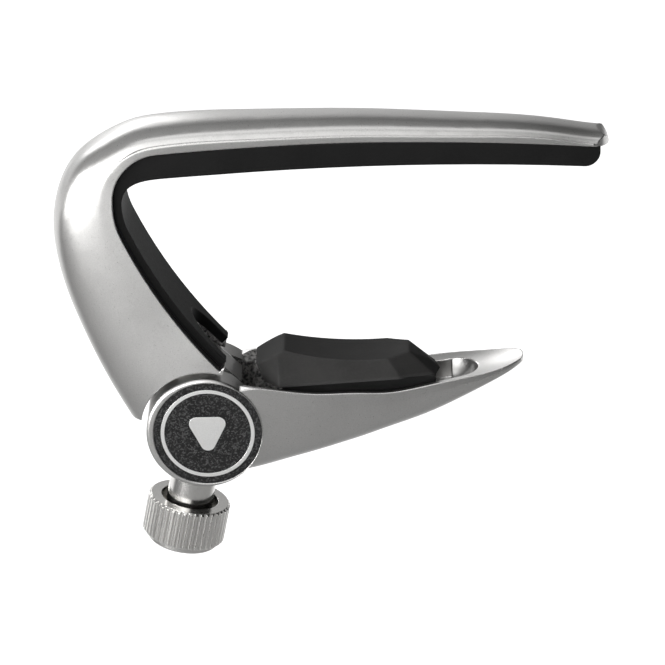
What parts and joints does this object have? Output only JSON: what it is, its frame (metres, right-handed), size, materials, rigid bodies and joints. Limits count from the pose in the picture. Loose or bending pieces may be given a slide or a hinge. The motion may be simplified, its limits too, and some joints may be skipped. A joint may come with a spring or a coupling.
{
  "type": "guitar capo",
  "caption": "Screw-adjusted guitar capo: a padded string bar and a padded lever hinged at a round hub, closed by a knurled knob.",
  "frame": {"origin": "middle of the string pad's contact face, on the capo's mid-plane", "axes": "+X along the string bar towards its free tip, +Z from the strings into the bar, Y across the bar with -Y the side in view"},
  "size_m": [0.0742, 0.015, 0.0628],
  "materials": {
    "cast_metal": "satin pearl plate over a die casting",
    "string_rubber": "matte",
    "neck_rubber": "matte",
    "base_plastic": "matte",
    "steel": "ground",
    "bush_brass": "turned",
    "washer_plastic": "matte",
    "badge_paint": "sparkled charcoal enamel",
    "badge_metal": "bright satin",
    "barrel_chrome": "polished",
    "knob_chrome": "polished",
    "friction_plastic": "matte",
    "cap_plastic": "matte"
  },
  "bodies": {
    "frame": {"frame": "cast_metal", "string_pad": "string_rubber", "pivot_bush": "bush_brass", "return_spring": "steel"},
    "jaw": {"lever": "cast_metal", "neck_pad": "neck_rubber", "neck_pad_base": "base_plastic", "pivot_pin": "steel", "front_washer": "washer_plastic", "back_washer": "washer_plastic", "front_badge": "badge_paint", "front_badge_ring": "badge_metal", "front_badge_pick": "badge_metal", "back_badge": "badge_paint", "back_badge_ring": "badge_metal", "back_badge_pick": "badge_metal", "screw_barrel": "barrel_chrome", "friction_ring": "friction_plastic"},
    "plunger": {"thrust_pin": "steel"},
    "knob": {"adjusting_screw": "steel", "knob": "knob_chrome", "knob_cap": "cap_plastic"}
  },
  "joints": [
    {"name": "jaw_swing", "type": "hinge", "parent": "frame", "child": "jaw", "pos_m": [-0.0226, 0, -0.0366], "axis": [0, -1, 0], "range_deg": [-6, 16], "deforming": ["return_spring"]},
    {"name": "screw_feed", "type": "slide", "parent": "jaw", "child": "plunger", "axis": [0.2096, 0, 0.9778], "range_m": [-0.00047, 0.00126]},
    {"name": "knob_turn", "type": "hinge", "parent": "plunger", "child": "knob", "pos_m": [-0.02585, 0, -0.05176], "axis": [0.2096, 0, 0.9778], "range_deg": [-242.5, 646.5]}
  ],
  "couplings": [
    {"joint": "knob_turn", "follows": "jaw_swing", "ratio": 40.392},
    {"joint": "screw_feed", "follows": "jaw_swing", "m_per_rad": 0.0045}
  ]
}
